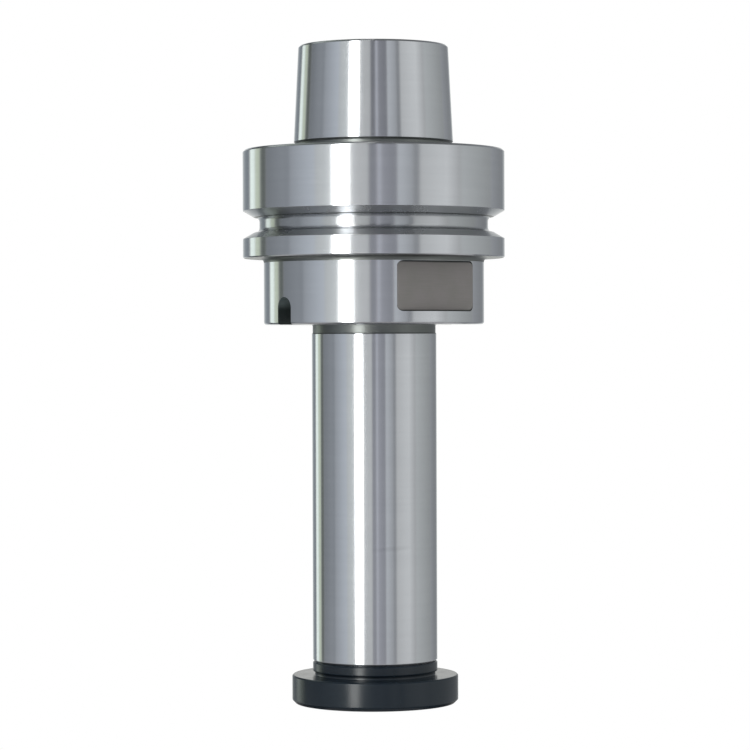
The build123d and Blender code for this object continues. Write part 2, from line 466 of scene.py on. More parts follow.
def bumped(tree, height, distance):
    """The normal of a relief, from its pattern and the depth that a pattern of 1 stands for."""
    return add_node(tree, "ShaderNodeBump", {"Height": height, "Distance": distance}).outputs["Normal"]


def feed(tree, shader, colour, roughness, normal):
    """Links the patterns of a finish to its shader."""
    for socket, pattern in (("Base Color", colour), ("Roughness", roughness), ("Normal", normal)):
        tree.links.new(pattern, shader.inputs[socket])


def steel(name, dark, light, smooth, rough, lines_per_mm, line_height, along=0.9):
    """Bare steel: dark and light are its two shades, smooth and rough the range of its roughness.

    line_height is the height of its tool lines, and along how much they stretch a highlight.
    """
    finish, tree, shader = new_finish(name)
    lines = group_node(tree, lines_group, Lines_per_mm=lines_per_mm)
    clouds = group_node(tree, clouds_group)
    banded = calc(tree, "MULTIPLY_ADD", lines["Bands"], 0.5, clouds["Cloud"])
    colour = mix_colours(tree, calc(tree, "SUBTRACT", banded, 0.25, clamp=True), dark, light)
    roughness = remap(tree, clouds["Cloud"], smooth, rough)
    feed(tree, shader, colour, roughness, bumped(tree, lines["Lines"], line_height))
    quarter_turn = 0.25
    for socket, value in (("Metallic", 1), ("Anisotropic", along), ("Anisotropic Rotation", quarter_turn)):
        shader.inputs[socket].default_value = value
    tangent = add_node(tree, "ShaderNodeTangent", direction_type="RADIAL", axis="Z")
    tree.links.new(tangent.outputs["Tangent"], shader.inputs["Tangent"])
    return finish


print("steel maker ready")

# %% The steels
ground_steel = steel("ground steel", (0.56, 0.57, 0.60), (0.64, 0.65, 0.68), 0.16, 0.20, 9, 0.00002 * mm)
turned_steel = steel("fine turned steel", (0.50, 0.51, 0.53), (0.60, 0.61, 0.63), 0.25, 0.30, 5, 0.0001 * mm)
hollow_steel = steel("bored steel", (0.34, 0.34, 0.35), (0.45, 0.45, 0.46), 0.36, 0.45, 4, 0.0004 * mm)
thread_steel = steel(
    "tapped steel", (0.30, 0.30, 0.31), (0.42, 0.42, 0.43), 0.38, 0.46, 4, 0.0002 * mm, along=0.3
)
# Darker steel for the relief, the round under the flange, the taper's undercut and the groove's corner:
# painted shade where these hollows lie in shadow
shaded_corner_steel = steel(
    "shaded corner", (0.165, 0.175, 0.17), (0.25, 0.262, 0.255), 0.36, 0.44, 4, 0.0002 * mm, along=0.6
)
slot_steel = steel("groove floor", (0.46, 0.47, 0.49), (0.54, 0.55, 0.57), 0.18, 0.22, 6, 0.00003 * mm)
arbor_finishes = [ground_steel, turned_steel, hollow_steel, thread_steel, shaded_corner_steel, slot_steel]
print("steels:", [finish.name for finish in arbor_finishes])

# %% [markdown]
# ## A smudge on the shaft
#
# Handling has left one faint, slanting smudge low on the shaft. It could be painted into a picture, but
# a stretched ball of slightly darker steel, placed in the object's own coordinates, needs none.

# %% Smudge
smudge_turn = np.radians(-111)
smudge_height = -95.1 * mm
smudge_tilt = np.radians(4.5)
smudge_reach = (7.5 * mm, 3 * mm, 0.9 * mm)
smudge_depth = 0.08
smudge_middle = (shaft_radius * np.cos(smudge_turn), shaft_radius * np.sin(smudge_turn), smudge_height)
smudge_turned = (0, -smudge_tilt, smudge_turn + np.pi / 2)

tree = ground_steel.node_tree
colour_input = tree.nodes["Principled BSDF"].inputs["Base Color"]
clean = colour_input.links[0].from_socket
ball = {"Location": smudge_middle, "Rotation": smudge_turned, "Scale": smudge_reach}
stretched = add_node(
    tree, "ShaderNodeMapping", {"Vector": object_place(tree), **ball}, vector_type="TEXTURE"
).outputs[0]
from_middle = add_node(tree, "ShaderNodeVectorMath", {0: stretched}, operation="LENGTH").outputs["Value"]
smudged = remap(tree, from_middle, smudge_depth, 0.0, start=0.25, end=1.0, curve="SMOOTHSTEP")
tree.links.new(mix_colours(tree, smudged, clean, (0.05, 0.05, 0.06)), colour_input)
print("smudge's middle in mm:", in_mm(*smudge_middle))

# %% [markdown]
# ## Milled finishes
#
# The spanner flats are milled after hardening and stay matte and grey-brown, with straight cutter marks.
# Where the wall meets the floor, shade falls in a thin dark line. It could be modelled as a groove, but it
# is only a pixel or two, so the material paints this shade as a dark border along the two long walls. At
# the short sides the floor runs out into the round body, with hardly any line.

# %% Milled flat
milled_steel, tree, shader = new_finish("milled steel")
axes = object_axes(tree)
flat_half_height = (flat_top - flat_bottom) / 2
flat_middle = (flat_top + flat_bottom) / 2
flat_half_width = (body_radius**2 - (body_radius - flat_depth) ** 2) ** 0.5
corner_shade_side = 0.35 * mm
corner_shade_start, corner_shade_end = -0.50 * mm, -0.16 * mm
up = calc(tree, "ABSOLUTE", calc(tree, "SUBTRACT", axes[2], flat_middle))
out_z = calc(tree, "SUBTRACT", up, flat_half_height - flat_corner)
out_x = calc(tree, "SUBTRACT", calc(tree, "ABSOLUTE", axes[0]), flat_half_width - flat_corner + corner_shade_side)
past_corner = hypotenuse(tree, *(calc(tree, "MAXIMUM", v, 0.0) for v in (out_z, out_x)))
inside = calc(tree, "MINIMUM", calc(tree, "MAXIMUM", out_z, out_x), 0.0)
past_edge = calc(tree, "SUBTRACT", calc(tree, "ADD", past_corner, inside), flat_corner)
# Painted shade: a dark line along the two long walls, where the wall meets the floor
corner_shade = remap(tree, past_edge, 0.0, 1.0, start=corner_shade_start, end=corner_shade_end)
print("border of the flat in mm:", in_mm(corner_shade_start, corner_shade_end))

# %% Cutter marks
marks_per_metre = (160, 160, 3600)
marks_share = 0.35
marks = noise(tree, scaled(tree, object_place(tree), marks_per_metre), 1.0, 3.0)
cloud = group_node(tree, clouds_group, Size_mm=5, Contrast=1.6)["Cloud"]
mottle = calc(tree, "MULTIPLY_ADD", marks, marks_share, calc(tree, "MULTIPLY", cloud, 1 - marks_share))
floor_tone = mix_colours(tree, mottle, (0.232, 0.224, 0.208), (0.325, 0.300, 0.300))
# The near-black here is the painted shade of that corner line
tone = mix_colours(tree, corner_shade, floor_tone, (0.045, 0.05, 0.05))
feed(tree, shader, tone, remap(tree, cloud, 0.5, 0.62), bumped(tree, marks, 0.004 * mm))
shader.inputs["Metallic"].default_value = 0.85
print("milled steel:", len(tree.nodes), "nodes")

# %% [markdown]
# ## Black oxide
#
# The cap and screw are blackened: a thin iron oxide, oiled, which looks like dark glass over turned
# steel. It could be a metal with a black colour, but oxide reflects like a plain glossy solid, so the
# shader stays unmetallic. Where an edge is rubbed, steel shows through, and there it turns metallic.


# %% Make a black finish
def black_oxide(name, colour, smooth, rough, lines_per_mm, line_height, wear, ior):
    """Blackened steel. wear is how much of the eased edges is rubbed bright, from 0 to 1."""
    finish, tree, shader = new_finish(name)
    lines = group_node(tree, lines_group, Lines_per_mm=lines_per_mm)
    cloud = group_node(tree, clouds_group, Size_mm=4, Contrast=2.0)["Cloud"]
    edge = add_node(tree, "ShaderNodeAttribute", attribute_name="edge").outputs["Fac"]
    rubbed = calc(tree, "MULTIPLY", edge, calc(tree, "MULTIPLY", cloud, wear), clamp=True)
    shade = mix_colours(tree, rubbed, colour, (0.22, 0.22, 0.23))
    feed(tree, shader, shade, remap(tree, cloud, smooth, rough), bumped(tree, lines["Lines"], line_height))
    tree.links.new(rubbed, shader.inputs["Metallic"])
    shader.inputs["IOR"].default_value = ior
    return finish


cap_black = black_oxide(
    "black oxide cap", (0.0055, 0.0120, 0.0190), 0.205, 0.26, 2, 0.00003 * mm, wear=0.0, ior=1.46
)
screw_black = black_oxide(
    "black oxide screw", (0.014, 0.014, 0.015), 0.34, 0.46, 3, 0.0006 * mm, wear=0.7, ior=1.44
)
print("black finishes:", [finish.name for finish in (cap_black, screw_black)])

# %% [markdown]
# ## The notches' dark wall
#
# The notches are dark: painted shade at their feet, deep in the recess, and painted light at their top.
# One finish could be painted on each face, but a fade that follows the height does the same for both.

# %% Notch finish
notch_shade_finish, tree, shader = new_finish("notch wall")
notch_top = shoulder + notch_height
# Painted shade at the notches' feet fades up into a painted, lighter top
top_light_from, top_light_to = notch_top - 3.2 * mm, notch_top - 1.4 * mm
painted_top_light = remap(tree, object_axes(tree)[2], 0.0, 1.0, start=top_light_from, end=top_light_to, curve="SMOOTHSTEP")
wall = mix_colours(tree, painted_top_light, (0.014, 0.021, 0.020), (0.110, 0.140, 0.138))
clouds = group_node(tree, clouds_group, Size_mm=2)
feed(tree, shader, wall, remap(tree, clouds["Cloud"], 0.45, 0.65), bumped(tree, clouds["Speck"], 0.003 * mm))
print("notch finish:", len(tree.nodes), "nodes")

# %% [markdown]
# ## The arbor's section
#
# The arbor is turned from one bar. It could be put together from cylinders and cones, but one closed
# line leaves no seams: from the drill point in the shaft's end, out over the shaft, shoulder, body,
# groove and flange, up the taper, and down into the hollow where the spindle's gripper pulls.

# %% Hole, shaft and body
# Bands with the darker corner steel are painted shade in hollows and corners
GROUND, TURNED, BORED, TAPPED, SHADED_CORNER, SLOTTED = range(6)
thread_top = screw_tip + thread_spare
hole_radius = thread_major + thread_clearance
relief_radius = shaft_radius - relief_depth
thread_steps = 150
arbor_lines = [
    (0, thread_top + hole_radius * drill_slope, 0, TAPPED),
    *((hole_radius, z, 0, TAPPED) for z in np.linspace(thread_top, shaft_end + thread_lead, thread_steps)),
    (hole_radius + thread_lead, shaft_end, 1, TURNED),
    (shaft_radius - shaft_edge, shaft_end, 1, TURNED),
    (shaft_radius, shaft_end + shaft_edge, 2, GROUND),
    (shaft_radius, shoulder - relief_width - relief_depth, 1, SHADED_CORNER),
    (relief_radius, shoulder - relief_width, 2, SHADED_CORNER),
    (relief_radius, shoulder, 8, SHADED_CORNER),
    (relief_radius + 3 * relief_depth, shoulder, 0, GROUND),
    (body_radius - body_edge, shoulder, 9, GROUND),
    (body_radius, shoulder + body_edge, 9, GROUND),
]
print("arbor section:", len(arbor_lines), "lines")

# %% Flange and groove
flank_rise = (flange_radius - groove_apex) * flank_slope
slot_mouth = groove_apex + slot_half_width / flank_slope


def quarter(left, top, radius, steps=9):
    """Points (x, z) of a quarter circle, from its left end up to its top."""
    angle = np.linspace(np.pi, np.pi / 2, steps)
    return list(zip(left + radius + radius * np.cos(angle), top - radius + radius * np.sin(angle)))


slot_arc = quarter(slot_radius, slot_half_width, slot_round)
arbor_lines += [
    *((x, z, 0, SHADED_CORNER) for x, z in quarter(body_radius, flange_bottom, body_round)),
    (flange_radius - flange_foot_edge, flange_bottom, 1, GROUND),
    (flange_radius, flange_bottom + flange_foot_edge, 1, GROUND),
    (flange_radius, groove_middle - flank_rise, 1, TURNED),
    (slot_mouth, groove_middle - slot_half_width, 2, SHADED_CORNER),
    *((x, groove_middle - z, 0, SLOTTED) for x, z in slot_arc[::-1]),
    # Beyond a short reach from the groove's floor, its upper corner takes the painted shade
    *((x, groove_middle + z, 0, SHADED_CORNER if x > slot_radius + slot_shade_reach else SLOTTED) for x, z in slot_arc),
    (slot_mouth, groove_middle + slot_half_width, 2, TURNED),
    (flange_radius, groove_middle + flank_rise, 1, GROUND),
    (flange_radius, -flange_top_edge, 3, GROUND),
    (flange_radius - flange_top_edge, 0, 1, GROUND),
]
print("arbor section:", len(arbor_lines), "lines")

# %% Shank and hollow
undercut_inside = taper_radius(0) - undercut_depth
undercut_top = undercut_width + undercut_depth
mouth_foot = cone_gauge_height + (cone_gauge_radius - mouth_radius) * cone_slope
recess_top = cone_gauge_height + (cone_gauge_radius - recess_radius) * cone_slope
arbor_lines += [
    (taper_radius(0) + undercut_reach, 0, 1, SHADED_CORNER),
    (taper_radius(0) + undercut_reach - undercut_sink, -undercut_sink, 1, SHADED_CORNER),
    (undercut_inside, -undercut_sink, 3, SHADED_CORNER),
    (undercut_inside, undercut_width, 2, SHADED_CORNER),
    (taper_radius(undercut_top), undercut_top, 1, GROUND),
    (taper_radius(shank_tip - tip_lead_height), shank_tip - tip_lead_height, 1, GROUND),
    (taper_radius(shank_tip) - tip_lead_depth, shank_tip, 1, TURNED),
    (mouth_radius + mouth_lead, shank_tip, 2, TURNED),
    (mouth_radius, shank_tip - mouth_lead, 2, BORED),
    (mouth_radius, mouth_foot, 2, BORED),
    (recess_radius, recess_top, 3, BORED),
    (recess_radius, recess_floor, 3, BORED),
    (pocket_radius, recess_floor - (recess_radius - pocket_radius), 3, BORED),
    (pocket_radius, pocket_floor, 4, BORED),
    (0, pocket_floor, 0, BORED),
]
print("arbor section:", len(arbor_lines), "lines")

# %% [markdown]
# ## The thread
#
# An M12 thread is a ridge that climbs 1.75 mm in each turn. A Screw modifier could sweep its profile,
# but the hole and the screw must match, so one formula presses the same ridge into both skins.


# %% Thread formula
ridge_slope = 1.35
root_flat = 0.1
fade_length = 0.8 * thread_pitch


def thread_radius(height, angle, low, high, room):
    """Radius of a right-hand thread: a ridge with 60 degree sides that climbs one pitch in a turn.

    The height less the turn's climb, in pitches, gives the place across the ridge, which is cut flat at
    its root and crest. The thread fades out into a plain cylinder at low and high, and room is added
    all round.
    """
    across = (height / thread_pitch - angle / (2 * np.pi)) % 1
    ridge = np.clip(ridge_slope * (1 - np.abs(2 * across - 1)) - root_flat, 0, 1)
    fade = np.clip(np.minimum(height - low, high - height) / fade_length, 0, 1)
    return thread_major + room - (thread_major - thread_minor) * (1 - ridge) * fade


def press_tapped_hole(radius, height, angle):
    """Presses the thread inwards on the wall of the tapped hole."""
    on_wall = (np.abs(radius - hole_radius) < 1e-6) & (height < thread_top + 1e-6)
    tapped = thread_radius(height, angle, shaft_end, thread_top, thread_clearance)
    return np.where(on_wall, tapped, radius)


print("thread depth in mm:", in_mm(thread_major - thread_minor))

# %% Turn the arbor
arbor = turned("arbor", eased(arbor_lines), arbor_finishes, press=press_tapped_hole)
print("arbor turned:", len(arbor.data.polygons), "faces")

# %% [markdown]
# ## Milling the flats and notches
#
# Two flats for a spanner and two round-topped notches are milled into the turned body, and two holes
# are drilled for the pins. They could be pulled into the grid, but a Boolean cut is what a milling
# machine does: each tool is a prism, and the surface that it leaves takes the tool's own finish.


# %% Prism helper
def prism(outline, near, far, first):
    """Points and faces of a prism: near and far move its outline, and its points count from first."""
    count = len(outline)
    around = first + np.arange(count)
    ahead = np.roll(around, -1)
    walls = np.stack([around, ahead, ahead + count, around + count], -1).tolist()
    ends = [around[::-1].tolist(), (around + count).tolist()]
    return np.concatenate([outline + near, outline + far]), walls + ends


def round_outline(half_width, low, high, corner, steps=10):
    """A closed rectangle with rounded corners, anticlockwise: four quarter circles joined by lines."""
    t = np.linspace(0, np.pi / 2, steps)
    turns = np.concatenate([t, t + np.pi / 2, t + np.pi, t + 3 * np.pi / 2])
    x = np.repeat([half_width - corner, corner - half_width, corner - half_width, half_width - corner], steps)
    z = np.repeat([high - corner, high - corner, low + corner, low + corner], steps)
    return x + corner * np.cos(turns), z + corner * np.sin(turns)


print("prism helper ready")

# %% Cutting helper
def cut_away(piece, cuts, tool_finishes):
    """Cuts prisms out of a piece. Each cut is an outline, its two planes and its place in the finishes."""
    points, faces, slots = np.empty((0, 3)), [], []
    for outline, near, far, slot in cuts:
        prism_points, prism_faces = prism(outline, near, far, len(points))
        points = np.concatenate([points, prism_points])
        faces += prism_faces
        slots += [slot] * len(prism_faces)
    for finish in tool_finishes:
        piece.data.materials.append(finish)
    tools = new_piece("tools", points, faces, piece.data.materials, slots)
    milling = piece.modifiers.new("milling", "BOOLEAN")
    milling.operation, milling.solver, milling.object = "DIFFERENCE", "EXACT", tools
    milling.material_mode = "INDEX"
    shown = bpy.context.evaluated_depsgraph_get()
    milled_mesh = bpy.data.meshes.new_from_object(piece.evaluated_get(shown))
    piece.modifiers.clear()
    piece.data = milled_mesh
    bpy.data.objects.remove(tools)


def circle_prism(x, radius, low, high, slot, steps=48):
    """A round tool parallel to the axis, at a place on X."""
    along_x, along_y = circle(radius, steps)
    return in_space(x + along_x, along_y, 0), (0, 0, low), (0, 0, high), slot


print("cutting helper ready")

# %% Mill and drill the arbor
MILLED, NOTCHED, DRILLED = 6, 7, 8
past = 1 * mm
flat_level = body_radius - flat_depth
flat_x, flat_z = round_outline(flat_half_width + flat_overrun, flat_bottom, flat_top, flat_corner)
flat_outline = in_space(flat_x, 0, flat_z)
arch = np.linspace(0, np.pi, 33)
arch_middle = shoulder + notch_height - notch_half_width
notch_reach = notch_half_width + notch_edge
notch_y = np.append(notch_reach * np.cos(arch), [-notch_reach, notch_reach])
notch_z = np.append(arch_middle + notch_half_width * np.sin(arch), [shoulder - past] * 2)
notch_outline = in_space(0, notch_y, notch_z)
arbor_cuts = []
for side in (-1, 1):
    outside = side * (body_radius + past)
    notch_floor = side * (body_radius - notch_depth)
    arbor_cuts.append((flat_outline[::-side], (0, side * flat_level, 0), (0, outside, 0), MILLED))
    arbor_cuts.append((notch_outline[::side], (notch_floor, 0, 0), (outside, 0, 0), NOTCHED))
    arbor_cuts.append(circle_prism(side * pin_offset, pin_radius, shaft_end - past, pin_high.z, DRILLED))
cut_away(arbor, arbor_cuts, [milled_steel, notch_shade_finish, hollow_steel])
true_normals(arbor, (MILLED, NOTCHED, DRILLED))
print("arbor milled:", len(arbor.data.polygons), "faces,", [m.name for m in arbor.data.materials])

# %% Seat the arbor
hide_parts("arbor_body")
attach(arbor, "arbor")
print("arbor seated")

# %% [markdown]
# ## The cap
#
# The cap is a turned disc with a hub of the shaft's own size, and a narrow undercut between them. It is
# sunk for the screw's head below, and has two blind holes that drop over the pins. Bevelled cylinders
# could make it, but a ring of a section, drilled like the arbor, keeps the undercut's edges fine.

# %% Sizes of the cap
hub_land = 2.3 * mm
hub_edge = 0.3 * mm
hub_undercut_depth = 0.5 * mm
disc_thickness = 6.8 * mm
disc_top_edge = 0.3 * mm
disc_bottom_edge = 0.8 * mm
screw_hole_radius = thread_major + 0.5 * mm
head_rim = 0.4 * mm
head_clearance = 0.02 * mm
head_sunk = head_face - cap_bottom
pin_hole_radius = pin_radius + 0.05 * mm
pin_hole_bottom = pin_low.z - 0.5 * mm
disc_top = cap_bottom + disc_thickness
hub_foot = shaft_end - hub_land
sink_radius = head_radius + head_clearance + head_sunk + head_rim
sink_top = cap_bottom + sink_radius - screw_hole_radius
print("disc top and hub foot in mm:", in_mm(disc_top, hub_foot))

# %% Turn and drill the cap
cap_lines = [
    (screw_hole_radius, sink_top, 1, 0),
    (sink_radius, cap_bottom, 1, 0),
    (disc_radius - disc_bottom_edge, cap_bottom, 2, 0),
    (disc_radius, cap_bottom + disc_bottom_edge, 3, 0),
    (disc_radius, disc_top - disc_top_edge, 2, 0),
    (disc_radius - disc_top_edge, disc_top, 2, 0),
    (shaft_radius - hub_undercut_depth, disc_top, 2, 0),
    (shaft_radius - hub_undercut_depth, hub_foot, 2, 0),
    (shaft_radius, hub_foot, 2, 0),
    (shaft_radius, shaft_end - hub_edge, 2, 0),
    (shaft_radius - hub_edge, shaft_end, 1, 0),
    (screw_hole_radius, shaft_end, 2, 0),
]
cap = turned("cap", eased(cap_lines, ring=True), [cap_black], ring=True)
pin_hole_cuts = [
    circle_prism(side * pin_offset, pin_hole_radius, pin_hole_bottom, shaft_end + past, 1) for side in (-1, 1)
]
cut_away(cap, pin_hole_cuts, [screw_black])
true_normals(cap, (1,))
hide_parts("clamp_cap")
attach(cap, "cap")
print("cap:", len(cap.data.polygons), "faces")

# %% [markdown]
# ## The screw and the pins
#
# Bump could draw the screw's thread, but its outline shows once it is out of its hole, so the hole's
# formula presses it too, and it fades out into a plain neck under the head. Its socket is six-sided, so
# it is cut like the flats. The pins are plain ground cylinders.

# %% Turn the screw
screw_tip_edge = 1 * mm
socket_half_across = 4 * mm
socket_depth = 5.4 * mm
thread_start = head_face + head_rim + head_radius - thread_major
socket_floor = head_face + socket_depth


def press_screw(radius, height, angle):
    """Presses the thread into the screw's shank and, by the least of the two, into its tip chamfer."""
    on_shank = (radius > thread_minor - 0.5 * mm) & (height > thread_start + 1e-6)
    threaded = thread_radius(height, angle, thread_start + thread_pitch, screw_tip + 2 * thread_pitch, 0)
    return np.where(on_shank, np.minimum(radius, threaded), radius)


neck = 0.2 * mm
shank_rows = np.linspace(thread_start + neck, screw_tip - screw_tip_edge, 190)
chamfer_rows = np.linspace(0, screw_tip_edge, 8)[1:]
screw_lines = [
    (0, head_face, 0, 0),
    (head_radius, head_face, 2, 0),
    (head_radius, head_face + head_rim, 2, 0),
    (thread_major, thread_start, 1, 0),
    *((thread_major, height, 0, 0) for height in shank_rows),
    *((thread_major - step, screw_tip - screw_tip_edge + step, 0, 0) for step in chamfer_rows),
    (0, screw_tip, 0, 0),
]
screw = turned("screw", eased(screw_lines), [screw_black], columns=128, press=press_screw)
half_side = np.radians(30)
hexagon = in_space(*circle(socket_half_across / np.cos(half_side), 6, start=half_side), 0)
cut_away(screw, [(hexagon, (0, 0, head_face - past), (0, 0, socket_floor), 1)], [screw_black])
true_normals(screw, (1,))
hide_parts("clamp_screw")
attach(screw, "screw")
print("screw:", len(screw.data.polygons), "faces")

# %% Turn the pins
pin_edge = 0.4 * mm
for side, place_x in (("left", -pin_offset), ("right", pin_offset)):
    pin_lines = [
        (0, pin_low.z, 0, 0),
        (pin_radius - pin_edge, pin_low.z, 1, 0),
        (pin_radius, pin_low.z + pin_edge, 2, 0),
        (pin_radius, pin_high.z, 0, 0),
        (0, pin_high.z, 0, 0),
    ]
    pin = turned(f"pin_{side}", eased(pin_lines), [ground_steel], columns=64, centre_x=place_x)
    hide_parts(f"cap_pin_{side}")
    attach(pin, "arbor")
    print(pin.name, len(pin.data.polygons), "faces")

# %% [markdown]
# ## The studio
#
# Polished steel has hardly a colour of its own: it shows the room. The photographed steel shows one
# narrow strip light, a paler window and soft grey walls, as upright bands. So a dome of cards stands
# round the object, each with soft edges, and only reflections see it. A picture of a studio could do
# this too, but cards are what a photographer moves, and they need no image.

# %% Camera place
camera_distance = 700 * mm
camera_turn = np.radians(-36.8)
camera_height = shoulder - 3.6 * mm
lens_length = 139.4
to_camera = np.array([np.sin(camera_turn), -np.cos(camera_turn)])
to_right = np.array([np.cos(camera_turn), np.sin(camera_turn)])
camera = placed("camera", bpy.data.cameras.new("camera"))
camera.data.lens = lens_length
camera.data.clip_start, camera.data.clip_end = 0.01, 20
bpy.context.scene.camera = camera
eye = Vector((*(to_camera * camera_distance), camera_height))
aim_drop = 8.54 * mm
aim_side = 0.18 * mm
aim = Vector((*(to_right * aim_side), camera_height - aim_drop))
roll = np.radians(0.2)
looking = (aim - eye).to_track_quat("-Z", "Y").to_matrix()
camera.matrix_world = Matrix.Translation(eye) @ (looking @ Matrix.Rotation(-roll, 3, "Z")).to_4x4()
print("camera at", in_mm(*eye), "mm")

# %% Studio cards
tints = {
    "white": (0.99, 1.0, 0.97),
    "pale": (0.975, 1.0, 0.99),
    "soft": (0.955, 1.0, 0.985),
    "grey": (0.955, 1.0, 1.035),
    "cool": (0.93, 1.0, 1.065),
    "blue": (0.89, 1.0, 1.075),
    "lilac": (0.97, 1.0, 1.085),
    "mint": (0.90, 1.0, 0.925),
    "green": (0.90, 1.0, 0.80),
}
# Left and right edge in degrees to the right of the camera, softness, brightness at each edge,
# the part of it that is gained higher up, tint
cards = {
    "left end wall": (-171, -141, 6, 0.36, 0.28, 0, "blue"),
    "pale window": (-138.5, -127, 4.5, 1.42, 1.22, 0, "mint"),
    "window shade": (-127, -118, 4, 0.88, 0.76, 0, "green"),
    "window frame": (-117.5, -108.5, 4.5, 0.20, 0.18, -0.1, "mint"),
    "left far wall": (-108.5, -78.5, 4, 0.305, 0.405, 0, "cool"),
    "left door edge": (-84.5, -78, 2, 0.365, 0.375, 0, "cool"),
    "left near wall": (-78.5, -52, 1.5, 0.455, 0.725, 0, "cool"),
    "left near corner": (-52, -37, 3, 0.725, 0.87, 0, "soft"),
    "strip light": (-35.5, -22.1, 3, 8.0, 8.0, 0, "white"),
    "front wall": (-20, -4, 2, 0.76, 0.74, -0.14, "pale"),
    "camera": (-4, 3, 2, 0.38, 0.40, -0.46, "lilac"),
    "front gap": (3, 7, 2, 0.66, 0.62, 0, "lilac"),
    "dark curtain": (7, 20.5, 2, 0.50, 0.36, -0.36, "lilac"),
    "grey screen": (20.5, 35, 1.5, 0.71, 0.49, 0, "grey"),
    "right post": (35, 40.5, 3, 0.39, 0.39, -0.18, "grey"),
    "right screen": (40.5, 64, 3, 0.68, 0.82, 0.05, "pale"),
    "right window": (64, 79.5, 2, 0.87, 0.60, 0.06, "pale"),
    "wall corner": (79.5, 82.5, 1.5, 0.58, 0.60, 0, "pale"),
    "right wall": (82.5, 125, 2, 0.64, 0.415, 0, "soft"),
    "right far wall": (125, 150, 6, 0.415, 0.28, 0, "grey"),
    "right end wall": (150, 173, 3, 0.25, 0.29, 0, "cool"),
    "backdrop": (173.7, 186.3, 50, 1.25, 1.25, 0, "white"),
}
print("cards:", ", ".join(cards))

# %% Light and shade of the dome
# Where each darkening starts and ends, in degrees, and what it leaves
ceiling_shade = (20, 65, 0.36)
ground_shade = (18, 50, 0.30)
# Two dark flags, above and below the pale window: their middle, their height and their darkness,
# and how far they reach from there, to the sides and up and down
flag_middle, flag_height, flag_darkness = -130, 25, 0.75
flag_width_shade = (24, 36, 0)
flag_height_shade = (8, 13, 0)
# Where a card's gain starts, and over how many degrees it comes
gain_start, gain_length = 3, 8
room_grey = 0.5


def fall_off(distance, start, end, lowest):
    """1 up to a start, then falls along 3t squared less 2t cubed to its lowest at the end."""
    t = np.clip((distance - start) / (end - start), 0, 1)
    return 1 - (1 - lowest) * t * t * (3 - 2 * t)


def brightness(degrees, elevation):
    """Colour of the dome over all its directions: each card is laid over the last, with soft edges.

    A card's brightness changes evenly from its left edge to its right edge, and with the height. The
    whole dome darkens towards the ceiling and the ground, and behind the two flags.
    """
    colour = np.full((len(elevation), len(degrees), 3), room_grey)
    height = np.clip((elevation - gain_start) / gain_length, 0, 1)[:, None]
    for left, right, softness, level_left, level_right, gain, tint in cards.values():
        half = (right - left) / 2
        away = (degrees - (left + right) / 2 + 180) % 360 - 180
        cover = fall_off(np.abs(away), half - softness / 2, half + softness / 2, 0)[None, :, None]
        level = level_left + (level_right - level_left) * np.clip(0.5 + away / (2 * half), 0, 1)
        level = (level * (1 + gain * height))[:, :, None]
        colour = colour * (1 - cover) + level * np.array(tints[tint]) * cover
    upright = fall_off(elevation, *ceiling_shade) * fall_off(-elevation, *ground_shade)
    flag_sides = fall_off(np.abs(degrees - flag_middle), *flag_width_shade)
    flag_levels = fall_off(np.abs(np.abs(elevation) - flag_height), *flag_height_shade)
    flags = 1 - flag_darkness * flag_levels[:, None] * flag_sides
    return colour * (upright[:, None] * flags)[:, :, None]


print("studio's light ready")

# %% Seen by reflections only
def reflected_only(item):
    """Hides a stage item from everything but reflections, so it neither shows nor lights nor shades."""
    for unseen_by in ("camera", "diffuse", "transmission", "shadow", "volume_scatter"):
        setattr(item, "visible_" + unseen_by, False)


def empty_finish(name):
    """A material with no nodes, and its tree."""
    finish = bpy.data.materials.new(name)
    finish.use_nodes = True
    finish.node_tree.nodes.clear()
    return finish, finish.node_tree


def glow(tree, colour):
    """A shader that shines in a colour."""
    return add_node(tree, "ShaderNodeEmission", {"Color": colour}).outputs[0]


def mix_shaders(tree, factor, first, second):
    """The first shader where the factor is 0 and the second where it is 1."""
    return add_node(tree, "ShaderNodeMixShader", {0: factor, 1: first, 2: second}).outputs[0]


print("stage helpers ready")

# %% Studio dome
dome_radius = 6.0
turns, tiers = 1440, 56
card_angle = np.linspace(-180, 180, turns, endpoint=False)
elevation = np.linspace(-75, 88, tiers)
heading = np.radians(card_angle) + np.arctan2(to_camera[1], to_camera[0])
lift = np.radians(elevation)[:, None]
dome_x, dome_y = (dome_radius * np.cos(lift) * side(heading) for side in (np.cos, np.sin))
dome_z = camera_height + dome_radius * np.sin(lift) + 0 * heading
dome_points = in_space(dome_x, dome_y, dome_z).reshape(-1, 3)
dome_index = np.arange(turns * tiers).reshape(tiers, turns)
dome_ahead = np.roll(dome_index, -1, 1)
dome_faces = np.stack([dome_index[:-1], dome_index[1:], dome_ahead[1:], dome_ahead[:-1]], -1).reshape(-1, 4)
dome_faces = dome_faces.tolist() + [dome_index[-1, ::-1].tolist()]
dome_finish, tree = empty_finish("studio cards")
dome_light = add_node(tree, "ShaderNodeAttribute", attribute_name="light").outputs["Color"]
add_node(tree, "ShaderNodeOutputMaterial", {"Surface": glow(tree, dome_light)})
studio_dome = new_piece("studio_dome", dome_points, dome_faces, [dome_finish])
dome_colour = np.concatenate([brightness(card_angle, elevation), np.ones((tiers, turns, 1))], 2)
light = studio_dome.data.attributes.new("light", "FLOAT_COLOR", "POINT")
light.data.foreach_set("color", dome_colour.reshape(-1).astype(np.float32))
reflected_only(studio_dome)
print("studio dome:", len(dome_faces), "faces")

